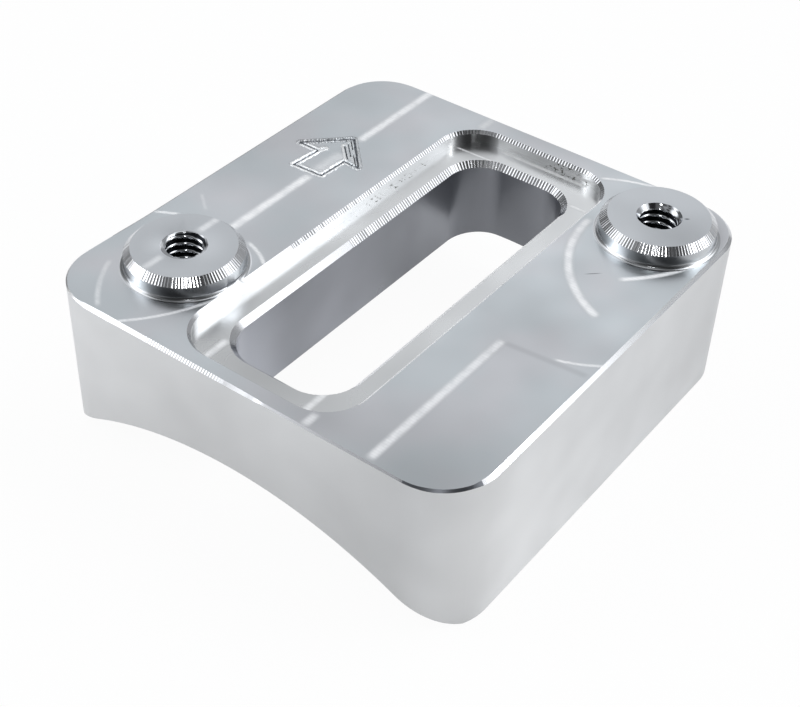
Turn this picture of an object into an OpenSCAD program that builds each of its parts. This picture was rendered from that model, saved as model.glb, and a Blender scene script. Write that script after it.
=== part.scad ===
// Flange that seats a slot-type air flow sensor on a round intake tube, machined from one block.
// Tube saddle below, stepped sensor opening through the middle, two tapped bosses on top.
// Millimetres. +Z is up, +Y runs along the tube with the air, +X runs across it.
// The origin is the middle of the footprint, on the plane of the two feet.

/* [Block] */
// Width of the block, across the tube
body_w = 45.7; // [45:0.1:60]
// Length of the block, along the tube
body_l = 48.8; // [48:0.1:65]
// Height of the flat top above the feet
body_h = 16.2; // [15:0.1:25]
// Radius of the four upright corners
corner_r = 5.55; // [2:0.05:8]
// Chamfer round the edge of the flat top
edge_chamfer = 0.35; // [0.1:0.05:0.6]

/* [Tube saddle] */
// Outside diameter of the tube under the flange
tube_d = 82.5; // [70:0.5:127]
// Width of the flat foot on each side of the saddle
foot_w = 0.6; // [0.2:0.05:3]

/* [Sensor opening] */
// Shift of the sensor's centre from the middle of the block, across the tube
sensor_x = 0.3; // [-0.5:0.05:0.35]
// Shift of the sensor's centre from the middle of the block, along the tube
sensor_y = -0.35; // [-1:0.05:0.7]
// Width of the shallow pocket round the sensor
pocket_w = 18; // [15:0.1:18.2]
// Length of the shallow pocket
pocket_l = 44.3; // [41.5:0.1:45]
// Radius of the pocket's corners
pocket_r = 4.1; // [1.5:0.05:6]
// Depth of the pocket's ledge below the flat top
pocket_depth = 1.35; // [0.8:0.05:4]
// Chamfer round the pocket's rim
pocket_chamfer = 0.3; // [0.1:0.05:0.4]
// Width of the slot for the sensor's blade
slot_w = 12.4; // [8:0.1:13]
// Length of the slot
slot_l = 38.6; // [25:0.1:39]
// Radius of the slot's corners
slot_r = 3.75; // [1:0.05:3.9]
// Chamfer round the slot where it leaves the ledge
slot_chamfer = 0.55; // [0.1:0.05:0.8]

/* [Screw bosses] */
// Diameter of each round boss
boss_d = 11.1; // [8:0.1:11.2]
// Height of the bosses above the flat top
boss_h = 2; // [1:0.1:6]
// Chamfer round each boss's top
boss_chamfer = 0.65; // [0.1:0.05:0.9]
// Radius of the cove where each boss meets the flat top
boss_cove = 0.45; // [0.1:0.05:0.5]
// First screw from the sensor's centre, across the tube
screw_1_x = -14.95; // [-16:0.05:-14.9]
// First screw from the sensor's centre, along the tube
screw_1_y = -13.9; // [-17:0.05:-8]
// Second screw from the sensor's centre, across the tube
screw_2_x = 16.15; // [15:0.05:16.2]
// Second screw from the sensor's centre, along the tube
screw_2_y = 17.45; // [8:0.05:18.2]

/* [Screw holes] */
// Diameter of the tapping drill
tap_d = 3.45; // [2.5:0.05:4.5]
// Diameter of the countersink's rim
sink_d = 4.35; // [3.6:0.05:6]
// Depth of each hole to the end of its full diameter
hole_depth = 11; // [6:0.1:11.5]
// Angle of the drill's point
drill_point = 118; // [90:1:140]

/* [Hidden] */
$fn = 96;
over = 1;
tube_r = tube_d/2;
half_chord = body_w/2 - foot_w;
tube_z = -sqrt(tube_r*tube_r - half_chord*half_chord);
ledge_z = body_h - pocket_depth;
boss_top = body_h + boss_h;
boss_r = boss_d/2;
boss_edge = min(boss_chamfer, boss_h - boss_cove);
sink_h = (sink_d - tap_d)/2;
sensor = [sensor_x, sensor_y];
screws = [sensor + [screw_1_x, screw_1_y], sensor + [screw_2_x, screw_2_y]];

// Upright block with round corners, whose side follows a wall profile all the way round.
// The profile is a list of [distance out from the nominal side, height], from the bottom up.
module profiled_block(size, corner, profile) {
    half = size/2;
    r = min(corner, half.x - 0.1, half.y - 0.1);
    core = half - [r, r];
    rotate([90, 0, 0])
        linear_extrude(height = 2*core.y, center = true)
            mirrored_profile(half.x, profile);
    rotate([90, 0, 90])
        linear_extrude(height = 2*core.x, center = true)
            mirrored_profile(half.y, profile);
    for (x = [-core.x, core.x], y = [-core.y, core.y])
        translate([x, y, 0])
            rotate_extrude()
                half_profile(r, profile);
}

module half_profile(reach, profile) {
    last = len(profile) - 1;
    polygon(concat(
        [[0, profile[0].y]],
        [for (p = profile) [reach + p.x, p.y]],
        [[0, profile[last].y]]
    ));
}

module mirrored_profile(reach, profile) {
    half_profile(reach, profile);
    mirror([1, 0])
        half_profile(reach, profile);
}

module block() {
    profiled_block([body_w, body_l], corner_r, [
        [0, 0],
        [0, body_h - edge_chamfer],
        [-edge_chamfer, body_h]
    ]);
}

// Outline of the flat top, which the bosses and their coves stay inside
module flat_top_column() {
    profiled_block([body_w, body_l] - 2*[edge_chamfer, edge_chamfer], corner_r - edge_chamfer, [
        [0, over],
        [0, boss_top + over]
    ]);
}

// Half section of a boss: chamfered top, straight wall, and a cove down to the flat top
module boss_section() {
    polygon([
        [0, -over],
        [boss_r, -over],
        [boss_r, boss_h - boss_edge],
        [boss_r - boss_edge, boss_h],
        [0, boss_h]
    ]);
    difference() {
        translate([0, -over])
            square([boss_r + boss_cove, boss_cove + over]);
        translate([boss_r + boss_cove, boss_cove])
            circle(r = boss_cove);
    }
}

module bosses() {
    for (screw = screws)
        translate([screw.x, screw.y, body_h])
            rotate_extrude()
                boss_section();
}

// Cutter for the round tube that the flange sits on
module saddle() {
    translate([0, 0, tube_z])
        rotate([90, 0, 0])
            cylinder(r = tube_r, h = body_l + 2*over, center = true, $fn = 180);
}

// Cutter for the shallow pocket, open upwards past the bosses
module pocket() {
    translate([sensor_x, sensor_y, 0])
        profiled_block([pocket_w, pocket_l], pocket_r, [
            [0, ledge_z],
            [0, body_h - pocket_chamfer],
            [pocket_chamfer, body_h],
            [pocket_chamfer, boss_top + over]
        ]);
}

// Cutter for the slot, from the ledge down through the saddle
module slot() {
    translate([sensor_x, sensor_y, 0])
        profiled_block([slot_w, slot_l], slot_r, [
            [0, -over],
            [0, ledge_z - slot_chamfer],
            [slot_chamfer, ledge_z],
            [slot_chamfer, ledge_z + pocket_depth/2]
        ]);
}

// Cutter for one tapping hole: countersink, full diameter, drill point
module screw_hole() {
    bore_r = tap_d/2;
    point_h = bore_r/tan(drill_point/2);
    translate([0, 0, -hole_depth])
        cylinder(r = bore_r, h = hole_depth + over);
    translate([0, 0, -hole_depth - point_h])
        cylinder(r1 = 0, r2 = bore_r, h = point_h);
    translate([0, 0, -sink_h])
        cylinder(r1 = bore_r, r2 = bore_r + sink_h + over, h = sink_h + over);
}

module screw_holes() {
    for (screw = screws)
        translate([screw.x, screw.y, boss_top])
            screw_hole();
}

module flange() {
    color("silver")
        difference() {
            union() {
                block();
                intersection() {
                    bosses();
                    flat_top_column();
                }
            }
            saddle();
            pocket();
            slot();
            screw_holes();
        }
}

flange();
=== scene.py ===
"""Dresses the milled flange of an air flow sensor: detailed surfaces, bare aluminium finishes, studio and camera.

Lengths are millimetres in the part's own frame: +Z up, +Y along the tube with the air, +X across it.
"""

import logging
import math
import random
from dataclasses import dataclass, field
from enum import Enum
from typing import Callable, Iterable, Sequence

import bpy
from mathutils import Matrix, Vector
from mathutils.geometry import delaunay_2d_cdt


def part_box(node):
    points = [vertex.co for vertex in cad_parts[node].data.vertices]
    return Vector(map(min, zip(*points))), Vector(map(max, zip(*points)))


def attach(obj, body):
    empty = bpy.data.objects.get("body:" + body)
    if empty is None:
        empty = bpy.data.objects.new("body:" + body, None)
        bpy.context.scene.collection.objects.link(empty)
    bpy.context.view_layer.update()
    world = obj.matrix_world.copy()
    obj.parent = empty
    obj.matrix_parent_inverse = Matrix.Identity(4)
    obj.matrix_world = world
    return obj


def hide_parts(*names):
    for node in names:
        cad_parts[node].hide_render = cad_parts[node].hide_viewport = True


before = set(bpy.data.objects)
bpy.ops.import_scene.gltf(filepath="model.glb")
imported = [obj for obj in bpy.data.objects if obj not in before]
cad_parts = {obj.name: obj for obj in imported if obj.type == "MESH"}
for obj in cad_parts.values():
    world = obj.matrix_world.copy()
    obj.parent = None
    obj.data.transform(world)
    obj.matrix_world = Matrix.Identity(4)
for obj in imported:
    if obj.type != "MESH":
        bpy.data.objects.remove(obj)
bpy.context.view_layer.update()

LOG = logging.getLogger("flange")
METRES = 0.001
PHOTO_WIDTH = 800
# Faces that meet at more than this many degrees keep a sharp edge.
SHARP_DEG = 24
# How far the burr reaches from the middle of an engraved line.
BURR_REACH = 0.44
# Patches to the millimetre: gloss drifts over about 6 mm, the film of oil over 9, the painted highlight streaks
# break up over 1, grit over 0.3.
DRIFT_PER_MM = 0.16
FILM_PER_MM = 0.11
HIGHLIGHT_BREAKUP_PER_MM = 0.9
GRIT_PER_MM = 3.6
# Distance between the feed lines across the painted highlight streaks, the same as between the ribs on the rims.
FEED_PITCH = 0.32
# Painted highlight: the near-white that the pale streaks are painted in.
PAINTED_HIGHLIGHT_WHITE = "#fbfcfd"
CHIP_STAIN = "#3d3c33"
SCRATCH_SHADOW = "#4d5056"

Point = tuple[float, float, float]
Plan = tuple[float, float]
Loop = list[Point]
Socket = bpy.types.NodeSocket


class Skin(Enum):
    """How a stretch of the flange's surface was made, and on some stretches the highlight or shade painted on it, in
    the order of the mesh's material slots.
    """

    TOP = 0
    SIDE = 1
    EDGE = 2
    LEDGE = 3
    OPENING = 4
    SADDLE = 5
    BOSS_SIDE = 6
    BOSS_TOP = 7
    THREAD = 8
    ROOT = 9
    BURR = 10
    GROOVE = 11
    POCKET_WALL = 12
    RUBBED = 13


def ramp(value: float, start: float, end: float) -> float:
    """Rises smoothly from 0 to 1 as a value goes from start to end.

    Args:
        value: The value.
        start: Where the rise starts.
        end: Where it ends.

    Returns:
        The share, from 0 to 1.
    """
    share = min(max((value - start) / (end - start), 0.0), 1.0)
    return share * share * (3 - 2 * share)


@dataclass(frozen=True)
class BlockSizes:
    """Outer block, with its saddle for the tube.

    Args:
        width: Size across the tube.
        length: Size along the tube.
        height: Height of the top over the feet.
        corner_r: Radius of the upright corners.
        tube_r: Radius of the tube that it sits on.
        foot_w: Width of the flat foot on either side.
        edge_in: How far the broken edge is taken inwards where it is even.
        edge_down: How far it is taken down there.
        chatter: From where to where along X the mill chattered on the near side's edge.
        chatter_pitch: Distance from one chatter mark to the next.
    """

    width: float
    length: float
    height: float
    corner_r: float = 5.55
    tube_r: float = 41.25
    foot_w: float = 0.6
    edge_in: float = 0.34
    edge_down: float = 0.30
    chatter: Plan = (-11.5, -1.0)
    chatter_pitch: float = 0.29

    def chattered(self, x: float, y: float) -> bool:
        """Tells whether a place on the outline is where the mill chattered."""
        return y < 0.01 - self.length / 2 and self.chatter[0] < x < self.chatter[1]

    def edge(self, x: float, y: float) -> Plan:
        """Size of the broken edge, which was run by hand and is uneven.

        Args:
            x: Place on the outline, across the tube.
            y: Place on the outline, along the tube.

        Returns:
            How far the edge is taken inwards, and how far down.
        """
        start, end = self.chatter
        # Near side, left part: it narrows to the right, with chatter on one stretch and a ripple beside it.
        left = ramp(-x, -3.1, -2.3) * ramp(-y, 20.0, 24.0)
        along = min(max((x + 18.0) / 20.3, 0.0), 1.0)
        ripple = 0.014 * math.sin(13.7 * x) + 0.012 * math.sin(31.0 * x + 1.0)
        if start - 0.1 < x < end + 0.1:
            ripple = 0.0
        chatter = 0.007 * math.sin(2 * math.pi * x / self.chatter_pitch)
        chatter = chatter * ramp(x, start + 0.1, start + 2.0) * ramp(-x, 0.1 - end, 2.0 - end)
        # Near side, right part: only just touched.
        front = ramp(x, 2.3, 3.1) * ramp(-y, 20.0, 21.5) * (1.0 - 0.35 * ramp(x, 18.0, 20.0))
        # Right side, near end: a little heavier.
        right = ramp(x, 20.0, 22.5) * ramp(-y, 6.0, 9.0) * ramp(y, -22.0, -19.0)
        # Left corner: hardly broken.
        corner = ramp(-x, 17.3, 18.6) * ramp(-y, 10.0, 19.0)
        run = left * (0.02 - 0.09 * along + ripple + chatter) - 0.16 * front + 0.03 * right - 0.22 * corner
        # Far side, and the left side beyond the corner: wider and flatter.
        far = max(ramp(y, 23.9, 24.3), ramp(-x, 22.3, 22.8) * ramp(y, -17.0, -14.0))
        return (self.edge_in + run + 0.04 * far, self.edge_down + run - 0.03 * far)

    def saddle_z(self, x: float) -> float:
        """Height of the underside.

        Args:
            x: Distance from the tube's axis.

        Returns:
            The height over the feet.
        """
        half_chord = self.width / 2 - self.foot_w
        if abs(x) >= half_chord:
            return 0.0
        return math.sqrt(self.tube_r**2 - x**2) - math.sqrt(self.tube_r**2 - half_chord**2)


@dataclass(frozen=True)
class OpeningSizes:
    """Stepped opening for the sensor: a shallow pocket, a ledge, and a slot through to the saddle.

    Args:
        centre: Its middle in plan.
        pocket_w: Width of the pocket, across the tube.
        pocket_l: Length of the pocket.
        pocket_r: Radius of the pocket's corners.
        pocket_depth: Depth of the ledge under the top.
        pocket_chamfer: Size of the chamfer round the pocket.
        slot_w: Width of the slot.
        slot_l: Length of the slot.
        slot_r: Radius of the slot's corners.
        slot_chamfer: Size of the chamfer round the slot.
    """

    centre: Plan = (0.3, -0.35)
    pocket_w: float = 18.0
    pocket_l: float = 44.3
    pocket_r: float = 4.1
    pocket_depth: float = 1.35
    pocket_chamfer: float = 0.3
    slot_w: float = 12.4
    slot_l: float = 38.6
    slot_r: float = 3.75
    slot_chamfer: float = 0.55


@dataclass(frozen=True)
class BossSizes:
    """One round boss with its tapped blind hole.

    Args:
        centre: Its place in plan.
        top: Height of its face over the feet.
        radius: Its radius.
        chamfer: Size of the chamfer round its face.
        cove: Radius of the cove at its foot.
        bore_r: Radius of the tapping drill.
        thread_r: Radius at the thread's roots.
        pitch: The thread's pitch.
        sink_r: Radius of the countersink at the face.
        sink_slope: How much the countersink narrows for each millimetre down.
        tapped: Depth of the thread.
        drilled: Depth of the hole at its full width.
        drill_point: Angle of the drill's point.
    """

    centre: Plan
    top: float
    radius: float = 5.55
    chamfer: float = 0.65
    cove: float = 0.45
    bore_r: float = 1.725
    thread_r: float = 2.085
    pitch: float = 0.794
    sink_r: float = 2.175
    sink_slope: float = 1.0
    tapped: float = 9.5
    drilled: float = 11.0
    drill_point: float = math.radians(118)


@dataclass(frozen=True)
class Ribs:
    """Scallops that the cutter's feed leaves across a chamfer.

    Args:
        pitch: Distance from one rib to the next along the edge.
        depth: Greatest depth of a scallop, square to the chamfer.
        seed: Seed of the small differences between the scallops.
        smooth: Shares of the edge's length between which the cutter left no scallops.
        samples: Points to a scallop.
    """

    pitch: float
    depth: float
    seed: int
    smooth: Plan = (0.0, 0.0)
    samples: int = 6

    def steps(self, length: float) -> int:
        """Returns how many points a closed edge of this length needs."""
        return max(3, round(length / self.pitch)) * self.samples

    def depths(self, count: int) -> list[float]:
        """Scallop depth at each point of a closed edge.

        Args:
            count: Number of points, from steps().

        Returns:
            One depth for each point, zero on the crests between scallops.
        """
        rng = random.Random(self.seed)
        cuts = [self.depth * rng.uniform(0.45, 1.0) for _ in range(count // self.samples)]
        out = []
        for i in range(count):
            place = (i % self.samples) / self.samples
            smooth = self.smooth[0] < i / count < self.smooth[1]
            out.append(0.0 if smooth else cuts[i // self.samples] * math.sin(math.pi * place))
        return out


@dataclass(frozen=True)
class RoundedOutline:
    """Rounded rectangle in plan, walked anticlockwise from the middle of its +X side.

    Args:
        centre: Its middle.
        width: Size along X.
        length: Size along Y.
        corner_r: Radius of its corners.
    """

    centre: Plan
    width: float
    length: float
    corner_r: float

    def walk_length(self) -> float:
        """Returns the length of the outline."""
        return 2 * (self.width + self.length) - (8 - 2 * math.pi) * self.corner_r

    def at(self, walked: float, out: float = 0.0) -> Plan:
        """Point on the outline, or beside it.

        Args:
            walked: Distance along the outline.
            out: Distance outwards from the outline.

        Returns:
            The point in plan.
        """
        core_x = self.width / 2 - self.corner_r
        core_y = self.length / 2 - self.corner_r
        arc = self.corner_r * math.pi / 2
        reach = self.corner_r + out
        left = (walked + core_y) % self.walk_length() - 2 * core_y
        for quarter in range(4):
            turned = quarter * math.pi / 2
            side_x, side_y = (core_x, core_y) if quarter % 2 == 0 else (core_y, core_x)
            if left <= 0:
                local = (side_x + reach, side_y + left)
                break
            if left <= arc:
                angle = left / self.corner_r
                local = (side_x + reach * math.cos(angle), side_y + reach * math.sin(angle))
                break
            left -= arc + 2 * side_x
        c, s = round(math.cos(turned)), round(math.sin(turned))
        return (self.centre[0] + c * local[0] - s * local[1], self.centre[1] + s * local[0] + c * local[1])

    def walk(self, count: int) -> list[float]:
        """Returns the distances along the outline of evenly spaced points."""
        return [self.walk_length() * i / count for i in range(count)]


class Surface:
    """Closed surface in the making: points, joined where they meet, and faces with their skins."""

    def __init__(self) -> None:
        """Starts with nothing."""
        self.points: list[Point] = []
        self.known: dict[tuple[int, int, int], int] = {}
        self.faces: list[tuple[int, ...]] = []
        self.skins: list[int] = []

    def point(self, p: Point) -> int:
        """Number of the point at p, made if there is none within a tenth of a micrometre.

        Args:
            p: Where the point is.

        Returns:
            Its number.
        """
        key = (round(p[0] * 1e4), round(p[1] * 1e4), round(p[2] * 1e4))
        if key not in self.known:
            self.known[key] = len(self.points)
            self.points.append(p)
        return self.known[key]

    def face(self, corners: Sequence[Point], skin: Skin) -> None:
        """Adds one face, unless its corners fall together.

        Args:
            corners: Its corners in order.
            skin: Its skin.
        """
        numbers = list(dict.fromkeys(self.point(p) for p in corners))
        if len(numbers) >= 3:
            self.faces.append(tuple(numbers))
            self.skins.append(skin.value)

    def strip(
        self, first: Loop, second: Loop, skin: Skin, choose: Callable[[Sequence[Point]], Skin] | None = None
    ) -> None:
        """Joins two closed loops that have the same number of points.

        Args:
            first: One loop.
            second: The other loop.
            skin: The skin of the new faces.
            choose: Gives the skin of a face from its corners, where it isn't the same all round.
        """
        count = len(first)
        for i in range(count):
            j = (i + 1) % count
            corners = (first[i], first[j], second[j], second[i])
            self.face(corners, choose(corners) if choose else skin)

    def fan(self, loop: Loop, tip: Point, skin: Skin) -> None:
        """Joins a closed loop to one point."""
        for i, p in enumerate(loop):
            self.face((p, loop[(i + 1) % len(loop)], tip), skin)

    def fill(
        self,
        borders: Sequence[Loop],
        inside: Plan,
        skin: Skin,
        height: Callable[[float, float], float],
        creases: Iterable[Loop] = (),
        choose: Callable[[Sequence[Point]], Skin] | None = None,
    ) -> None:
        """Fills the region between closed loops, seen in plan.

        Args:
            borders: Closed loops that bound the region.
            inside: A point of the region, away from its borders.
            skin: The skin of the new faces.
            height: Height of the surface at a point in plan that is on no border.
            creases: Open lines inside the region that the faces follow.
            choose: Gives the skin of a face from its corners, where it isn't the same all over.
        """
        plan: list[Plan] = []
        edges: list[tuple[int, int]] = []
        for loop in borders:
            start = len(plan)
            plan += [(p[0], p[1]) for p in loop]
            edges += [(start + i, start + (i + 1) % len(loop)) for i in range(len(loop))]
        walls = len(edges)
        for line in creases:
            start = len(plan)
            plan += [(p[0], p[1]) for p in line]
            edges += [(start + i, start + i + 1) for i in range(len(line) - 1)]
        given = [p for loop in borders for p in loop] + [p for line in creases for p in line]
        spots, links, triangles, sources, link_sources, _ = delaunay_2d_cdt(
            [Vector(p) for p in plan], edges, [], 0, 1e-7, True
        )
        placed = [
            given[origin[0]] if origin else (spot.x, spot.y, height(spot.x, spot.y))
            for spot, origin in zip(spots, sources)
        ]
        barred = {
            frozenset(link)
            for link, origin in zip(links, link_sources)
            if any(n < walls for n in origin)
        }
        seed = min(
            range(len(triangles)),
            key=lambda n: (sum((spots[i] for i in triangles[n]), Vector((0, 0))) / 3 - Vector(inside)).length,
        )
        inner = self.reached(triangles, barred, seed)
        for n in inner:
            corners = [placed[i] for i in triangles[n]]
            self.face(corners, choose(corners) if choose else skin)
        LOG.info("filled %d faces of %s", len(inner), skin.name.lower())

    @staticmethod
    def reached(triangles: Sequence[Sequence[int]], barred: set[frozenset[int]], seed: int) -> list[int]:
        """Finds the triangles that one of them leads to without crossing a border.

        Args:
            triangles: Corner numbers of each triangle.
            barred: Edges that belong to a border.
            seed: The triangle to start from.

        Returns:
            Numbers of the triangles, in rising order.
        """
        beside: dict[frozenset[int], list[int]] = {}
        for n, tri in enumerate(triangles):
            for i in range(3):
                beside.setdefault(frozenset((tri[i], tri[(i + 1) % 3])), []).append(n)
        found, front = {seed}, [seed]
        while front:
            tri = triangles[front.pop()]
            for i in range(3):
                link = frozenset((tri[i], tri[(i + 1) % 3]))
                if link in barred:
                    continue
                for other in beside[link]:
                    if other not in found:
                        found.add(other)
                        front.append(other)
        return sorted(found)


def level(outline: RoundedOutline, places: Sequence[float], out: Sequence[float], z: Sequence[float]) -> Loop:
    """Loop of points beside an outline.

    Args:
        outline: The outline that is followed.
        places: Distance of each point along it.
        out: Distance of each point outwards from it.
        z: Height of each point.

    Returns:
        The points in space.
    """
    return [(*outline.at(w, o), h) for w, o, h in zip(places, out, z)]


@dataclass(frozen=True)
class Stroke:
    """One engraved line in plan, with the burr that the cutter raised beside it.

    Args:
        points: The line's points.
        closed: Whether it ends where it starts.
        groove: Half the groove's width.
        depth: Depth of the groove.
        burr: Height of the burrs.
        ragged: Share by which depth and burr vary at random.
    """

    points: tuple[Plan, ...]
    closed: bool = False
    groove: float = 0.10
    depth: float = 0.11
    burr: float = 0.09
    ragged: float = 0.30

    def distance(self, x: float, y: float) -> float:
        """Distance from a point in plan to the line.

        Args:
            x: The point's place across the tube.
            y: Its place along the tube.

        Returns:
            The distance.
        """
        spot, nearest = Vector((x, y)), 1e9
        ends = self.points[1:] + (self.points[:1] if self.closed else ())
        for a, b in zip(self.points, ends):
            start, way = Vector(a), Vector(b) - Vector(a)
            share = min(max((spot - start).dot(way) / way.length_squared, 0.0), 1.0)
            nearest = min(nearest, (spot - start - way * share).length)
        return nearest

    def relief(self, away: float) -> float:
        """Height of the stroke's section: the groove, and the burr beside it.

        Args:
            away: Distance from the stroke's middle.

        Returns:
            The height over the flat.
        """
        lip = self.burr * 0.25
        if away < self.groove:
            return lip - (self.depth + lip) * (1 - (away / self.groove) ** 2)
        rise = (away - self.groove) / (BURR_REACH - self.groove)
        return self.burr * math.sin(math.pi * min(rise * 0.85 + 0.15, 1.0)) if rise < 1 else 0.0


@dataclass(frozen=True)
class ArrowMark:
    """Flow arrow, engraved as a closed line, its head's right edge gone over several times.

    Args:
        outline: The arrow's outline.
        repeats: Lines that the engraver went over again.
        left_edge: The head's left edge, which shows dark and light by turns.
        right_edge: The head's right edge, with the widest burr.
        spacing: Distance between the points of the relief.
        grid_start: Corner of the square in which the relief has points.
        grid_side: Side of that square.
        margin: How far flat points go beyond the burr.
        faces: Two corners of the rectangle in which faces are told apart.
        seed: Seed of the raggedness.
    """

    outline: Stroke = Stroke(
        (
            (-17.55, 4.42), (-14.18, 4.60), (-14.01, 8.02), (-12.12, 7.90),
            (-15.84, 11.82), (-19.66, 7.90), (-17.24, 7.92),
        ),
        closed=True,
        groove=0.15,
    )
    repeats: tuple[Stroke, ...] = (
        Stroke(((-12.48, 7.95), (-15.68, 11.20)), groove=0.08, depth=0.10),
        Stroke(((-13.35, 8.45), (-15.62, 10.72)), groove=0.07, depth=0.09),
        Stroke(((-13.92, 8.46), (-15.71, 10.22)), groove=0.07, depth=0.09),
        Stroke(((-17.20, 8.05), (-16.96, 8.62)), groove=0.06, depth=0.05),
    )
    left_edge: Stroke = Stroke(((-15.9, 11.75), (-19.66, 7.90)))
    right_edge: Stroke = Stroke(((-15.6, 11.5), (-12.4, 8.1)))
    spacing: float = 0.078
    grid_start: Plan = (-20.6, 3.5)
    grid_side: float = 9.6
    margin: float = 0.16
    faces: tuple[Plan, Plan] = ((-21.0, 3.0), (-11.0, 13.2))
    seed: int = 17

    def points(self, z: float) -> list[Point]:
        """Points of the relief, on a flat at height z.

        Args:
            z: Height of the flat.

        Returns:
            Points on and beside the engraved lines, close enough together to carry them.
        """
        rng = random.Random(self.seed)
        least, spread, torn_factor = 0.55, 0.45, 2.4
        count = round(self.grid_side / self.spacing)
        out: list[Point] = []
        for i in range(count):
            for j in range(count):
                x, y = self.grid_start[0] + i * self.spacing, self.grid_start[1] + j * self.spacing
                torn = (x < -15.9 and y > 8.7) or (x > -14.7 and y < 8.3)
                jog, lift, near = rng.uniform(least, 1.0), 0.0, 1e9
                for stroke in (self.outline, *self.repeats):
                    away = stroke.distance(x, y)
                    near = min(near, away)
                    rough = stroke.ragged * (torn_factor if torn else 1.0)
                    part = stroke.relief(away) * (1 - rough * (1 - jog) / spread)
                    lift = part if abs(part) > abs(lift) else lift
                if near < BURR_REACH + self.margin:
                    out.append((x, y, z + (lift if near < BURR_REACH else 0.0)))
        return out


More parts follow.
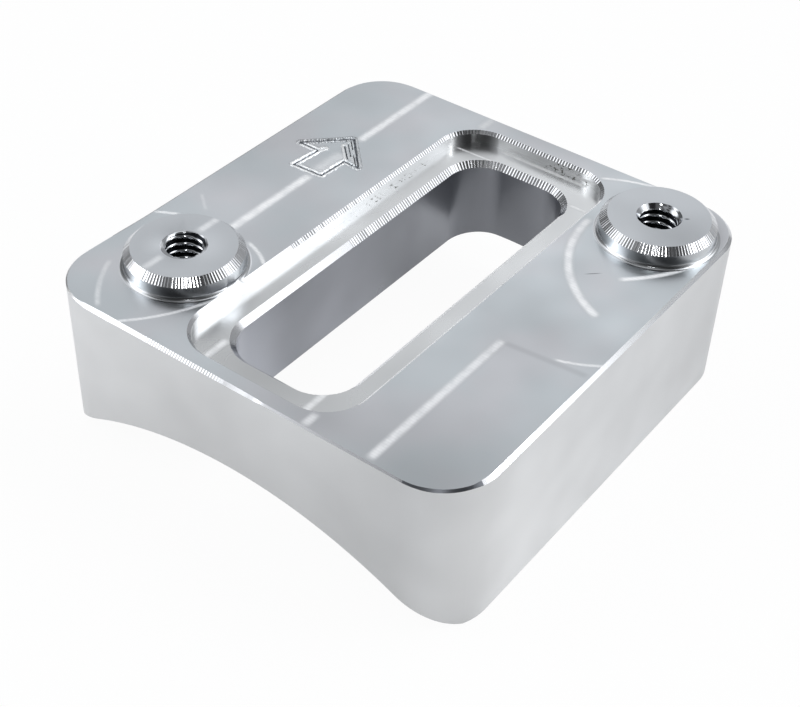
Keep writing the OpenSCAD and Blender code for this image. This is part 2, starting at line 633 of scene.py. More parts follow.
@dataclass
class FlangeBody:
    """The one-piece flange: block with saddle, stepped opening, two tapped bosses and the flow arrow.

    Args:
        block: Sizes of the block.
        opening: Sizes of the opening for the sensor.
        bosses: The bosses on the block's top.
        arrow: The flow arrow.
        rim_ribs: Scallops on the pocket's rim.
        slot_ribs: Scallops on the slot's rim.
        boss_ribs: Scallops on the chamfers of the bosses.
        surface: The surface in the making.
        chance: Picks which faces of the arrow are torn bright.
    """

    block: BlockSizes
    opening: OpeningSizes
    bosses: Sequence[BossSizes]
    arrow: ArrowMark = ArrowMark()
    rim_ribs: Ribs = Ribs(pitch=0.33, depth=0.030, seed=3, smooth=(0.549, 0.78))
    slot_ribs: Ribs = Ribs(pitch=0.34, depth=0.034, seed=5, smooth=(0.503, 0.79))
    boss_ribs: Ribs = Ribs(pitch=0.30, depth=0.026, seed=7)
    surface: Surface = field(default_factory=Surface)
    chance: random.Random = field(default_factory=lambda: random.Random(29))

    def top_z(self, x: float, y: float) -> float:
        """Height of the top, with the coves at the feet of the bosses.

        Args:
            x: Place across the tube.
            y: Place along the tube.

        Returns:
            The height over the feet.
        """
        z = self.block.height
        for boss in self.bosses:
            away = math.dist((x, y), boss.centre) - boss.radius
            if away < boss.cove:
                away = max(away, 0.0)
                z += boss.cove - math.sqrt(boss.cove**2 - (boss.cove - away) ** 2)
        return z

    def ring(self, boss: BossSizes, count: int, radius: float, z: float | None = None) -> Loop:
        """Ring of points around a boss.

        Args:
            boss: The boss.
            count: Number of points.
            radius: Radius of the ring.
            z: Its height, or none where it follows the top.

        Returns:
            The ring.
        """
        out = []
        for i in range(count):
            angle = 2 * math.pi * i / count
            x = boss.centre[0] + radius * math.cos(angle)
            y = boss.centre[1] + radius * math.sin(angle)
            out.append((x, y, self.top_z(x, y) if z is None else z))
        return out

    def build_sides(self) -> tuple[Loop, Loop]:
        """Builds the outer walls and the broken edge above them.

        Returns:
            The border of the top, and the border of the underside.
        """
        b = self.block
        outline = RoundedOutline((0.0, 0.0), b.width, b.length, b.corner_r)
        total = outline.walk_length()
        coarse, fine = 420, 2560
        places = [w for w in outline.walk(coarse) if not b.chattered(*outline.at(w))]
        places += [w for w in outline.walk(fine) if b.chattered(*outline.at(w))]
        foot_x = b.width / 2 - b.foot_w
        foot_turn = math.acos((foot_x - (b.width / 2 - b.corner_r)) / b.corner_r) * b.corner_r
        straight = b.length / 2 - b.corner_r
        for turn in (straight + foot_turn, total / 2 - straight - foot_turn):
            places += [turn, total - turn]
        places.sort()
        count = len(places)
        edges = [b.edge(*outline.at(w)) for w in places]
        top = level(outline, places, [-e[0] for e in edges], [b.height] * count)
        under = level(outline, places, [0.0] * count, [b.height - e[1] for e in edges])
        foot = [(x, y, b.saddle_z(x)) for x, y, _ in under]
        self.surface.strip(under, top, Skin.EDGE, self.edge_skin)
        self.surface.strip(foot, under, Skin.SIDE)
        return top, foot

    def edge_skin(self, corners: Sequence[Point]) -> Skin:
        """Chooses the skin of a face of the broken edge, which shines only where it takes a lamp: painted shade on
        the far side and at the near corner.

        Args:
            corners: The face's corners.

        Returns:
            The skin.
        """
        x, y = corners[0][:2]
        far_side = y > 23.9 or (x < -22.7 and y > -15.0)
        near_corner = x > 17.4 and y < -20.6
        if far_side or near_corner:
            return Skin.GROOVE
        return Skin.SIDE if x < -18.2 else Skin.EDGE

    def rim_skin(self, half_width: float) -> Callable[[Sequence[Point]], Skin]:
        """Makes the chooser for a rim of the opening, with a painted highlight on its +X side.

        Args:
            half_width: Distance from the opening's middle beyond which the rim has the painted highlight.

        Returns:
            Function that gives the skin of a face from its corners.
        """
        limit = self.opening.centre[0] + half_width
        return lambda corners: Skin.RUBBED if corners[0][0] > limit else Skin.EDGE

    def build_opening(self) -> tuple[Loop, Loop]:
        """Builds the stepped opening.

        Returns:
            The rim of the pocket in the top, and the lower edge of the slot in the saddle.
        """
        o, s = self.opening, self.surface
        pocket = RoundedOutline(o.centre, o.pocket_w, o.pocket_l, o.pocket_r)
        slot = RoundedOutline(o.centre, o.slot_w, o.slot_l, o.slot_r)
        ledge = self.block.height - o.pocket_depth

        count = self.rim_ribs.steps(pocket.walk_length())
        places = pocket.walk(count)
        cuts = [d * math.sqrt(2) for d in self.rim_ribs.depths(count)]
        rim = [
            (x, y, self.top_z(x, y))
            for x, y in (pocket.at(w, o.pocket_chamfer + d) for w, d in zip(places, cuts))
        ]
        wall_top = self.block.height - o.pocket_chamfer
        upper = level(pocket, places, [0.0] * count, [wall_top - d for d in cuts])
        lower = level(pocket, places, [0.0] * count, [ledge] * count)
        s.strip(upper, rim, Skin.EDGE, self.rim_skin(o.pocket_w / 2 - 0.1))
        s.strip(lower, upper, Skin.POCKET_WALL)

        count = self.slot_ribs.steps(slot.walk_length())
        places = slot.walk(count)
        cuts = [d * math.sqrt(2) for d in self.slot_ribs.depths(count)]
        mouth = level(slot, places, [o.slot_chamfer + d for d in cuts], [ledge] * count)
        neck = level(slot, places, [0.0] * count, [ledge - o.slot_chamfer - d for d in cuts])
        end = [(x, y, self.block.saddle_z(x)) for x, y, _ in neck]
        s.strip(neck, mouth, Skin.EDGE, self.rim_skin(o.slot_w / 2 - 0.05))
        s.strip(end, neck, Skin.OPENING)
        beside = (o.centre[0] + o.slot_w / 2 + o.slot_chamfer + 1.2, o.centre[1])
        s.fill([lower, mouth], beside, Skin.LEDGE, lambda x, y: ledge)
        return rim, end

    def build_top(self, border: Loop, rim: Loop) -> None:
        """Builds the top with its coves and the arrow.

        Args:
            border: Border of the top at the block's edge.
            rim: Rim of the opening.
        """
        o = self.opening
        holes: list[Loop] = []
        creases: list[Loop] = [[p] for p in self.arrow.points(self.block.height)]
        pocket = RoundedOutline(o.centre, o.pocket_w, o.pocket_l, o.pocket_r)
        clear, cove_points = 0.09, 240
        reach_x = pocket.width / 2 + o.pocket_chamfer + clear
        reach_y = pocket.length / 2 + o.pocket_chamfer + clear
        for boss in self.bosses:
            count = self.boss_ribs.steps(2 * math.pi * boss.radius)
            holes.append(self.ring(boss, count, boss.radius, self.block.height + boss.cove))
            for share in (0.08, 0.2, 0.36, 0.55, 0.76, 1.0):
                ring = self.ring(boss, cove_points, boss.radius + boss.cove * share)
                ring.append(ring[0])
                run: Loop = []
                for p in ring:
                    if abs(p[0] - o.centre[0]) < reach_x and abs(p[1] - o.centre[1]) < reach_y:
                        creases.append(run)
                        run = []
                    else:
                        run.append(p)
                creases.append(run)
        creases = [line for line in creases if line]
        beside = (-self.block.width / 2 + 2.0, 0.0)
        self.surface.fill([border, rim, *holes], beside, Skin.TOP, self.top_z, creases, self.engraved_skin)

    def engraved_skin(self, corners: Sequence[Point]) -> Skin:
        """Chooses the skin of a face of the top: burr, painted shade in the groove and on the arrow's left edge,
        cove, or the plain milled flat.

        Args:
            corners: The face's corners.

        Returns:
            The skin.
        """
        raised, edge_raised, sunk = 0.022, 0.01, -0.02
        middle_x = sum(p[0] for p in corners) / 3
        middle_y = sum(p[1] for p in corners) / 3
        lift = sum(p[2] for p in corners) / 3 - self.block.height
        if any(math.dist((middle_x, middle_y), b.centre) < b.radius + b.cove for b in self.bosses):
            return Skin.BOSS_SIDE
        (left, near), (right, far) = self.arrow.faces
        if not (left < middle_x < right and near < middle_y < far):
            return Skin.TOP
        chance = self.chance.random()
        if self.arrow.left_edge.distance(middle_x, middle_y) < 0.5 and lift > edge_raised:
            return Skin.GROOVE if chance < 0.30 else Skin.BURR if chance < 0.5 else Skin.TOP
        if self.arrow.right_edge.distance(middle_x, middle_y) < 0.9 and lift > raised:
            return Skin.BURR if chance < 0.35 else Skin.TOP
        return Skin.BURR if lift > raised and chance < 0.93 else Skin.GROOVE if lift < sunk else Skin.TOP

    def build_saddle(self, border: Loop, mouth: Loop) -> None:
        """Builds the hollow underside and its two feet.

        Args:
            border: Border of the underside at the block's walls.
            mouth: Lower edge of the slot.
        """
        b, o = self.block, self.opening
        foot_rows, columns, rows, margin, clear = 40, 60, 32, 0.5, 0.35
        foot_x = b.width / 2 - b.foot_w
        reach = max(abs(p[1]) for p in border if abs(abs(p[0]) - foot_x) < 1e-6)
        lines = [reach * (2 * i / foot_rows - 1) for i in range(foot_rows + 1)]
        creases = [[(side * foot_x, y, 0.0) for y in lines] for side in (-1, 1)]
        for i in range(1, columns):
            x = foot_x * (2 * i / columns - 1)
            for j in range(rows + 1):
                y = (b.length / 2 - margin) * (2 * j / rows - 1)
                corner = math.hypot(
                    max(abs(x) - b.width / 2 + b.corner_r, 0), max(abs(y) - b.length / 2 + b.corner_r, 0)
                )
                free = abs(x - o.centre[0]) > o.slot_w / 2 + clear or abs(y - o.centre[1]) > o.slot_l / 2 + clear
                if free and corner < b.corner_r - clear:
                    creases.append([(x, y, b.saddle_z(x))])
        beside = (foot_x - 4.0, 0.0)
        self.surface.fill([border, mouth], beside, Skin.SADDLE, lambda x, y: b.saddle_z(x), creases)

    def build_boss(self, boss: BossSizes) -> None:
        """Builds one boss above its cove, with its tapped hole.

        Args:
            boss: The boss.
        """
        s = self.surface
        count = self.boss_ribs.steps(2 * math.pi * boss.radius)
        cuts = [d * math.sqrt(2) for d in self.boss_ribs.depths(count)]
        foot = self.ring(boss, count, boss.radius, self.block.height + boss.cove)
        shoulder: Loop = []
        brow: Loop = []
        for i, cut in enumerate(cuts):
            angle = 2 * math.pi * i / count
            c, t = math.cos(angle), math.sin(angle)
            inner = boss.radius - boss.chamfer - cut
            shoulder.append((foot[i][0], foot[i][1], boss.top - boss.chamfer - cut))
            brow.append((boss.centre[0] + inner * c, boss.centre[1] + inner * t, boss.top))
        s.strip(foot, shoulder, Skin.BOSS_SIDE)
        s.strip(shoulder, brow, Skin.EDGE)
        columns = 72
        sink = self.ring(boss, columns, boss.sink_r, boss.top)
        s.fill([brow, sink], (boss.centre[0] + 3.2, boss.centre[1]), Skin.BOSS_TOP, lambda x, y: boss.top)
        self.build_thread(boss, columns)

    def build_thread(self, boss: BossSizes, columns: int) -> None:
        """Builds the tapped hole, its rows climbing with the thread.

        Args:
            boss: The boss that it stands in.
            columns: Number of columns around the hole.
        """
        s = self.surface
        per_turn = 16
        # Shares of half a pitch that the crest and its flank take, and the length over which the thread runs out.
        crest, flank, runout = 0.16, 0.88, 1.6
        floor = boss.top - boss.tapped
        step = boss.pitch / per_turn
        rows = math.ceil((boss.tapped + boss.pitch) / step) + 2

        def radius(z: float, turn: float) -> float:
            """Radius of the hole.

            Args:
                z: Height in the hole.
                turn: Share of a turn round it.

            Returns:
                The radius.
            """
            phase = abs(((z / boss.pitch - turn) % 1.0) - 0.5) * 2
            root = ramp(1 - phase, crest, crest + flank)
            fade = min(max((z - floor) / runout, 0.0), 1.0)
            thread = boss.bore_r + (boss.thread_r - boss.bore_r) * root * fade
            return max(thread, boss.sink_r - (boss.top - z) * boss.sink_slope)

        def spot(column: int, row: int) -> Point:
            """Point of the hole's wall.

            Args:
                column: Number of its column.
                row: Number of its row, from the face down.

            Returns:
                The point.
            """
            turn = column / columns
            z = boss.top + step - row * step + boss.pitch * turn
            z = min(max(z, floor), boss.top)
            r = boss.sink_r if z == boss.top else boss.bore_r if z == floor else radius(z, turn)
            angle = 2 * math.pi * turn
            return (boss.centre[0] + r * math.cos(angle), boss.centre[1] + r * math.sin(angle), z)

        for column in range(columns):
            last = column == columns - 1
            for row in range(rows):
                after, shift = (0, -per_turn) if last else (column + 1, 0)
                if row + shift < 0:
                    continue
                corners = (
                    spot(column, row),
                    spot(column, row + 1),
                    spot(after, row + 1 + shift),
                    spot(after, row + shift),
                )
                # Faces deep in the thread's roots, below the countersink, are painted dark as shade.
                open_r = sum(math.dist(p[:2], boss.centre) for p in corners) / 4 - boss.bore_r
                below_sink = corners[1][2] < boss.top - (boss.sink_r - boss.bore_r) / boss.sink_slope
                deep = open_r > 0.10 and below_sink
                s.face(corners, Skin.ROOT if deep else Skin.THREAD)
        wall = self.ring(boss, columns, boss.bore_r, floor)
        end = self.ring(boss, columns, boss.bore_r, boss.top - boss.drilled)
        s.strip(end, wall, Skin.THREAD)
        point = boss.top - boss.drilled - boss.bore_r / math.tan(boss.drill_point / 2)
        s.fan(end, (*boss.centre, point), Skin.THREAD)

    def build(self) -> bpy.types.Object:
        """Builds the whole closed surface.

        Returns:
            The flange as one mesh object, in metres.
        """
        border, foot = self.build_sides()
        rim, mouth = self.build_opening()
        self.build_top(border, rim)
        self.build_saddle(foot, mouth)
        for boss in self.bosses:
            self.build_boss(boss)
        s = self.surface
        mesh = bpy.data.meshes.new("flange_skin")
        mesh.from_pydata([tuple(c * METRES for c in p) for p in s.points], [], s.faces)
        mesh.polygons.foreach_set("material_index", s.skins)
        mesh.shade_smooth()
        piece = bpy.data.objects.new("flange_skin", mesh)
        bpy.context.scene.collection.objects.link(piece)
        self.turn_outwards(piece)
        mesh.set_sharp_from_angle(angle=math.radians(SHARP_DEG))
        return piece

    def turn_outwards(self, piece: bpy.types.Object) -> None:
        """Turns all faces outwards.

        Args:
            piece: The object whose faces are turned.
        """
        bpy.context.view_layer.objects.active = piece
        piece.select_set(True)
        bpy.ops.object.mode_set(mode="EDIT")
        bpy.ops.mesh.select_all(action="SELECT")
        bpy.ops.mesh.normals_make_consistent(inside=False)
        bpy.ops.object.mode_set(mode="OBJECT")
        piece.select_set(False)

    def dress(self, piece: bpy.types.Object) -> None:
        """Gives the flange its finishes, and its place in the part.

        Args:
            piece: The flange, from build().
        """
        for skin in Skin:
            piece.data.materials.append(FINISHES[skin].material())
        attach(piece, "root")
        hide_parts("flange")


def linear(code: str) -> tuple[float, float, float, float]:
    """Turns an sRGB colour into the linear light that shaders take.

    Args:
        code: The colour, such as #c0c4c8.

    Returns:
        Red, green, blue and a full alpha.
    """
    out = []
    for i in (1, 3, 5):
        v = int(code[i : i + 2], 16) / 255
        out.append(v / 12.92 if v <= 0.04045 else ((v + 0.055) / 1.055) ** 2.4)
    return (out[0], out[1], out[2], 1.0)


class Recipe:
    """Node tree of one material or of the world."""

    def __init__(self, tree: bpy.types.NodeTree) -> None:
        """Empties the tree."""
        self.tree = tree
        tree.nodes.clear()

    def add(
        self, kind: str, inputs: dict | None = None, out: int | str = 0, **settings: object
    ) -> Socket | bpy.types.Node:
        """Adds a node.

        Args:
            kind: The node's type.
            inputs: Value or socket for each input, by its name, or by its number from the top.
            out: Which output is returned.
            **settings: Settings of the node.

        Returns:
            The chosen output, or the node itself where it has none.
        """
        node = self.tree.nodes.new(kind)
        for name, value in settings.items():
            setattr(node, name, value)
        for key, value in (inputs or {}).items():
            if isinstance(value, bpy.types.NodeSocket):
                self.tree.links.new(value, node.inputs[key])
            else:
                node.inputs[key].default_value = value
        return node.outputs[out] if len(node.outputs) else node


@dataclass(frozen=True)
class Streak:
    """Straight mark on a flat, in plan.

    Args:
        start: Where it starts.
        end: Where it ends.
        width: Its width.
        strength: How much it covers, where 1 is all.
    """

    start: Plan
    end: Plan
    width: float = 0.95
    strength: float = 1.0

    def measure(self, r: Recipe, flat: Socket) -> tuple[Socket, Socket, float]:
        """Adds the nodes that measure from the mark's line.

        Args:
            r: The node tree.
            flat: Position in plan, in millimetres.

        Returns:
            Distance across the line, distance along it from its middle, and half its length.
        """
        way = Vector(self.end) - Vector(self.start)
        half = way.length / 2
        way.normalize()
        off = r.add("ShaderNodeVectorMath", {0: flat, 1: (*self.start, 0.0)}, operation="SUBTRACT")
        along, across = (
            r.add("ShaderNodeVectorMath", {0: off, 1: (*axis, 0.0)}, out="Value", operation="DOT_PRODUCT")
            for axis in ((way.x, way.y), (-way.y, way.x))
        )
        return across, r.add("ShaderNodeMath", {0: along, 1: half}, operation="SUBTRACT"), half


@dataclass(frozen=True)
class Sweep:
    """Curved mark on a flat, in plan.

    Args:
        centre: Middle of its circle.
        radius: Radius of its circle.
        from_deg: Direction of its first end, in degrees from +X towards +Y.
        to_deg: Direction of its last end.
        width: Its width.
        strength: How much it covers, where 1 is all.
    """

    centre: Plan
    radius: float
    from_deg: float
    to_deg: float
    width: float = 0.6
    strength: float = 1.0

    def measure(self, r: Recipe, flat: Socket) -> tuple[Socket, Socket, float]:
        """Adds the nodes that measure from the mark's arc.

        Args:
            r: The node tree.
            flat: Position in plan, in millimetres.

        Returns:
            Distance across the arc, distance along it from its middle, and half its length.
        """
        middle = (*self.centre, 0.0)
        turn = math.radians((self.from_deg + self.to_deg) / 2)
        away = r.add("ShaderNodeVectorMath", {0: flat, 1: middle}, out="Value", operation="DISTANCE")
        across = r.add("ShaderNodeMath", {0: away, 1: self.radius}, operation="SUBTRACT")
        facing = r.add("ShaderNodeVectorMath", {0: flat, 1: middle}, operation="SUBTRACT")
        beside, ahead = (
            r.add("ShaderNodeVectorMath", {0: facing, 1: (*axis, 0.0)}, out="Value", operation="DOT_PRODUCT")
            for axis in ((-math.sin(turn), math.cos(turn)), (math.cos(turn), math.sin(turn)))
        )
        angle = r.add("ShaderNodeMath", {0: beside, 1: ahead}, operation="ARCTAN2")
        along = r.add("ShaderNodeMath", {0: angle, 1: self.radius}, operation="MULTIPLY")
        return across, along, math.radians(abs(self.to_deg - self.from_deg) / 2) * self.radius


Mark = Streak | Sweep


@dataclass(frozen=True)
class PaintedShading:
    """Soft patch of painted light where its tone is above 1 and painted shade where it is below 1: the metal's
    colour painted lighter or darker there than the rest.

    Args:
        centre: Its middle, in millimetres.
        reach: How far it goes from there along X, Y and Z.
        tone: Factor on the metal's colour in the middle.
    """

    centre: Point
    reach: Point
    tone: float

    def factor(self, r: Recipe, place: Socket) -> Socket:
        """Adds the nodes of the shade.

        Args:
            r: The node tree.
            place: Position in millimetres.

        Returns:
            The factor on the metal's colour.
        """
        off = r.add("ShaderNodeVectorMath", {0: place, 1: self.centre}, operation="SUBTRACT")
        shares = r.add("ShaderNodeVectorMath", {0: off, 1: self.reach}, operation="DIVIDE")
        away = r.add("ShaderNodeVectorMath", {0: shares}, out="Value", operation="LENGTH")
        return r.add("ShaderNodeMapRange", {0: away, 3: self.tone, 4: 1.0}, interpolation_type="SMOOTHSTEP")


@dataclass(frozen=True)
class MilledFinish:
    """Bare milled aluminium: metal, its colour and gloss, the cutter's fine lines and marks, and painted highlights,
    light and shade.

    Args:
        name: Name of the material.
        colour: Colour of the clean metal.
        roughness: Spread of its reflections.
        mottle: Share by which the gloss drifts from place to place.
        grain: Spacing of the fine lines, in millimetres along X, Y and Z.
        grain_depth: Strength of the fine lines, in millimetres.
        marks: Painted highlights on the flat: pale streaks and arcs along the cutter's tracks.
        specks: Lines along which chips left small dark specks.
        scratches: Fine dark lines.
        painted_shading: Places where the metal's colour is painted lighter or darker, as painted light and shade.
        second: Colour that the metal drifts to from place to place, if any.
        metal: Share that mirrors as metal, less where a painted highlight is made chalky so that it stays pale from
            every side.
    """

    name: str
    colour: str = "#d2d5d8"
    roughness: float = 0.30
    mottle: float = 0.06
    grain: Point = (1.0, 1.0, 1.0)
    grain_depth: float = 0.0
    marks: tuple[Mark, ...] = ()
    specks: tuple[Streak, ...] = ()
    scratches: tuple[Streak, ...] = ()
    painted_shading: tuple[PaintedShading, ...] = ()
    second: str = ""
    metal: float = 1.0

    @staticmethod
    def cover(r: Recipe, place: Socket, mark: Mark) -> Socket:
        """Adds the nodes that find one mark.

        Args:
            r: The node tree.
            place: Position in millimetres.
            mark: The mark.

        Returns:
            The mark's strength on it, and zero beside it.
        """
        # Shares of the width at which a mark starts to fade and has gone, and the same at its ends in millimetres.
        core, skirt, end_core, end_skirt = 0.08, 0.66, 0.5, 0.3
        flat = r.add("ShaderNodeVectorMath", {0: place, 1: (1.0, 1.0, 0.0)}, operation="MULTIPLY")
        across, along, half = mark.measure(r, flat)
        side = r.add("ShaderNodeMath", {0: across}, operation="ABSOLUTE")
        body = r.add(
            "ShaderNodeMapRange",
            {0: side, 1: mark.width * core, 2: mark.width * skirt, 3: mark.strength, 4: 0.0},
            interpolation_type="SMOOTHSTEP",
        )
        end = r.add("ShaderNodeMath", {0: along}, operation="ABSOLUTE")
        reach = r.add(
            "ShaderNodeMapRange",
            {0: end, 1: max(half - end_core, 0.0), 2: half + end_skirt, 3: 1.0, 4: 0.0},
            interpolation_type="SMOOTHSTEP",
        )
        return r.add("ShaderNodeMath", {0: body, 1: reach}, operation="MULTIPLY")

    def most(self, r: Recipe, place: Socket, marks: Sequence[Mark]) -> Socket:
        """Adds the nodes of several marks.

        Args:
            r: The node tree.
            place: Position in millimetres.
            marks: The marks, at least one.

        Returns:
            The strength of the strongest of them.
        """
        share = self.cover(r, place, marks[0])
        for mark in marks[1:]:
            share = r.add("ShaderNodeMath", {0: share, 1: self.cover(r, place, mark)}, operation="MAXIMUM")
        return share

    def painted_highlight_share(self, r: Recipe, place: Socket) -> Socket:
        """Adds the nodes of the painted highlight streaks, barred by the cutter's feed and broken up in places.

        Args:
            r: The node tree.
            place: Position in millimetres.

        Returns:
            How much of the metal the painted highlight covers.
        """
        share = self.most(r, place, self.marks)
        along = r.add("ShaderNodeSeparateXYZ", {0: place}, out=1)
        turn = r.add("ShaderNodeMath", {0: along, 1: 2 * math.pi / FEED_PITCH}, operation="MULTIPLY")
        wave = r.add("ShaderNodeMath", {0: turn}, operation="SINE")
        bars = r.add("ShaderNodeMapRange", {0: wave, 1: -1.0, 2: 0.6, 3: 0.84, 4: 1.0})
        share = r.add("ShaderNodeMath", {0: share, 1: bars}, operation="MULTIPLY")
        fine = r.add("ShaderNodeTexNoise", {"Vector": place, "Scale": HIGHLIGHT_BREAKUP_PER_MM, "Detail": 3.0, "Roughness": 0.7})
        highlight_breakup = r.add("ShaderNodeMapRange", {0: fine, 1: 0.32, 2: 0.56, 3: 0.66, 4: 1.0})
        return r.add("ShaderNodeMath", {0: share, 1: highlight_breakup}, operation="MULTIPLY")

    def material(self) -> bpy.types.Material:
        """Makes the material.

        Returns:
            The finish as a new material.
        """
        mat = bpy.data.materials.new(self.name)
        mat.use_nodes = True
        r = Recipe(mat.node_tree)
        spot = r.add("ShaderNodeTexCoord", out="Object")
        place = r.add("ShaderNodeVectorMath", {0: spot, 1: (1000.0, 1000.0, 1000.0)}, operation="MULTIPLY")
        drift = r.add("ShaderNodeTexNoise", {"Vector": place, "Scale": DRIFT_PER_MM, "Detail": 1.0})
        metal: float | Socket = self.metal
        gloss = r.add(
            "ShaderNodeMapRange",
            {0: drift, 1: 0.3, 2: 0.7, 3: self.roughness - self.mottle, 4: self.roughness + self.mottle},
        )
        tone = r.add("ShaderNodeMapRange", {0: drift, 1: 0.3, 2: 0.7, 3: 1.035, 4: 0.965})
        # Painted light and shade: each patch multiplies the colour's tone.
        for shade in self.painted_shading:
            tone = r.add("ShaderNodeMath", {0: tone, 1: shade.factor(r, place)}, operation="MULTIPLY")
        clean: tuple | Socket = linear(self.colour)
        if self.second:
            film = r.add("ShaderNodeTexNoise", {"Vector": place, "Scale": FILM_PER_MM, "Detail": 2.0})
            share = r.add("ShaderNodeMapRange", {0: film, 1: 0.40, 2: 0.60})
            clean = r.add("ShaderNodeMix", {0: share, 6: clean, 7: linear(self.second)}, out=2, data_type="RGBA")
        colour = r.add(
            "ShaderNodeMix", {0: 1.0, 6: clean, 7: tone}, out=2, data_type="RGBA", blend_type="MULTIPLY"
        )
        if self.marks:
            share = self.painted_highlight_share(r, place)
            colour = r.add("ShaderNodeMix", {0: share, 6: colour, 7: linear(PAINTED_HIGHLIGHT_WHITE)}, out=2, data_type="RGBA")
            gloss = r.add("ShaderNodeMix", {0: share, 2: gloss, 3: 0.78}, out=0, data_type="FLOAT")
            # Painted highlight: the streaks are painted near-white and partly non-metal, so that they stay white
            # from every side.
            metal = r.add("ShaderNodeMapRange", {0: share, 3: 1.0, 4: 0.35})
        if self.specks:
            near = self.most(r, place, self.specks)
            grit = r.add("ShaderNodeTexNoise", {"Vector": place, "Scale": GRIT_PER_MM, "Detail": 1.0})
            spots = r.add("ShaderNodeMapRange", {0: grit, 1: 0.62, 2: 0.67, 3: 0.0, 4: 1.0})
            dark = r.add("ShaderNodeMath", {0: near, 1: spots}, operation="MULTIPLY")
            colour = r.add("ShaderNodeMix", {0: dark, 6: colour, 7: linear(CHIP_STAIN)}, out=2, data_type="RGBA")
        if self.scratches:
            deep = self.most(r, place, self.scratches)
            colour = r.add("ShaderNodeMix", {0: deep, 6: colour, 7: linear(SCRATCH_SHADOW)}, out=2, data_type="RGBA")
        inputs: dict = {"Base Color": colour, "Metallic": metal, "Roughness": gloss}
        if self.grain_depth:
            stretched = r.add("ShaderNodeVectorMath", {0: place, 1: self.grain}, operation="DIVIDE")
            lines = r.add("ShaderNodeTexNoise", {"Vector": stretched, "Scale": 1.0, "Detail": 2.0})
            inputs["Normal"] = r.add(
                "ShaderNodeBump", {"Height": lines, "Distance": self.grain_depth * METRES, "Strength": 1.0}
            )
        shader = r.add("ShaderNodeBsdfPrincipled", inputs)
        r.add("ShaderNodeOutputMaterial", {"Surface": shader})
        return mat


# Painted highlights on the top: pale streaks and arcs along the cutters' tracks and rings, where the milled lines
# catch the light.
TOP_PAINTED_HIGHLIGHTS: tuple[Mark, ...] = (
    Streak((-15.05, -8.6), (-15.05, 3.9), 1.15, 1.0),
    Streak((-15.15, 11.9), (-15.15, 24.3), 1.15, 0.9),
    Streak((-15.0, 4.9), (-15.0, 9.0), 1.7, 0.5),
    Streak((-7.0, 21.7), (-7.0, 24.2), 1.1, 0.5),
    Streak((14.0, -23.9), (14.0, -5.2), 1.0, 0.75),
    Streak((7.5, -24.2), (7.5, -22.5), 0.95, 0.6),
    Sweep((23.7, 15.1), 13.4, 180.0, 248.0, 1.0, 0.9),
    Sweep((7.43, 20.1), 15.2, -49.0, -16.0, 0.65, 1.0),
    Sweep((15.57, 9.38), 14.8, 101.0, 123.0, 0.45, 1.0),
    Sweep((-13.88, -15.66), 7.5, 48.0, 78.0, 0.5, 1.0),
    Sweep((15.8, 6.2), 11.2, 286.0, 311.0, 0.42, 0.8),
    Sweep((-26.6, -11.1), 18.5, 312.0, 346.0, 0.45, 0.7),
    Sweep((-6.72, -12.58), 14.63, 203.0, 229.0, 0.6, 0.5),
    Streak((-22.5, -10.2), (-20.4, -9.0), 0.45, 1.0),
    Streak((-21.0, -5.2), (-18.9, -6.9), 0.4, 0.3),
)
# Painted highlights on the pocket's floor: along the cutter's tracks, and a bright line along the foot of its far
# wall.
LEDGE_PAINTED_HIGHLIGHTS: tuple[Mark, ...] = (
    Streak((-5.5, -21.8), (-5.5, -18.9), 0.8, 0.8),
    Streak((5.5, -21.8), (5.5, -18.9), 0.8, 0.7),
    Streak((6.6, 17.55), (8.7, 17.55), 0.4, 1.0),
    Streak((-3.85, 21.35), (6.0, 21.35), 0.55, 1.0),
    Streak((-8.0, 19.05), (-3.2, 19.2), 0.32, 0.9),
)
# Painted highlight: a pale upright streak in the pocket's far left corner.
WALL_PAINTED_HIGHLIGHTS: tuple[Mark, ...] = (Streak((-7.3, 21.0), (-6.9, 20.6), 0.6, 0.45),)
# Fine dark scratches, and a faint darker band across the right of the top.
TOP_SCRATCHES: tuple[Streak, ...] = (
    Streak((14.6, 7.4), (15.6, 8.35), 0.14, 0.7),
    Streak((14.3, -5.4), (22.3, -4.7), 0.8, 0.14),
)
BOSS_SCRATCHES: tuple[Streak, ...] = (Streak((18.70, 18.27), (18.78, 18.33), 0.24, 1.0),)
# Where chips nicked the pocket's floor and wall, along the wall's foot.
LEDGE_SPECKS: tuple[Streak, ...] = (
    Streak((-8.50, 2.0), (-8.50, 17.0), 0.40, 1.0),
    Streak((1.0, 21.65), (7.2, 21.65), 0.30, 1.0),
)
WALL_SPECKS: tuple[Streak, ...] = (Streak((1.0, 21.75), (7.2, 21.75), 0.30, 1.0),)
# Painted light and shade: places where the metal's colour is painted lighter or darker, for each of the surfaces.
TOP_PAINTED_SHADING: tuple[PaintedShading, ...] = (
    PaintedShading((18.5, -22.5, 16.2), (9.5, 9.5, 9.5), 0.80),
    PaintedShading((7.5, -22.6, 16.2), (7.0, 4.5, 9.0), 0.86),
    PaintedShading((-6.5, -22.8, 16.2), (11.0, 4.5, 9.0), 1.13),
    PaintedShading((15.0, -4.3, 16.2), (9.0, 8.0, 9.0), 0.86),
    PaintedShading((-0.8, 24.0, 16.2), (12.0, 3.5, 9.0), 0.84),
    PaintedShading((-18.5, -5.5, 16.2), (9.0, 9.0, 9.0), 1.17),
    PaintedShading((21.5, 3.5, 16.2), (3.5, 5.0, 9.0), 1.12),
)
BOSS_PAINTED_SHADING: tuple[PaintedShading, ...] = (
    PaintedShading((-14.65, -14.25, 18.2), (14.0, 14.0, 9.0), 1.12),
    PaintedShading((18.8, 14.4, 18.2), (6.5, 5.5, 9.0), 0.82),
)
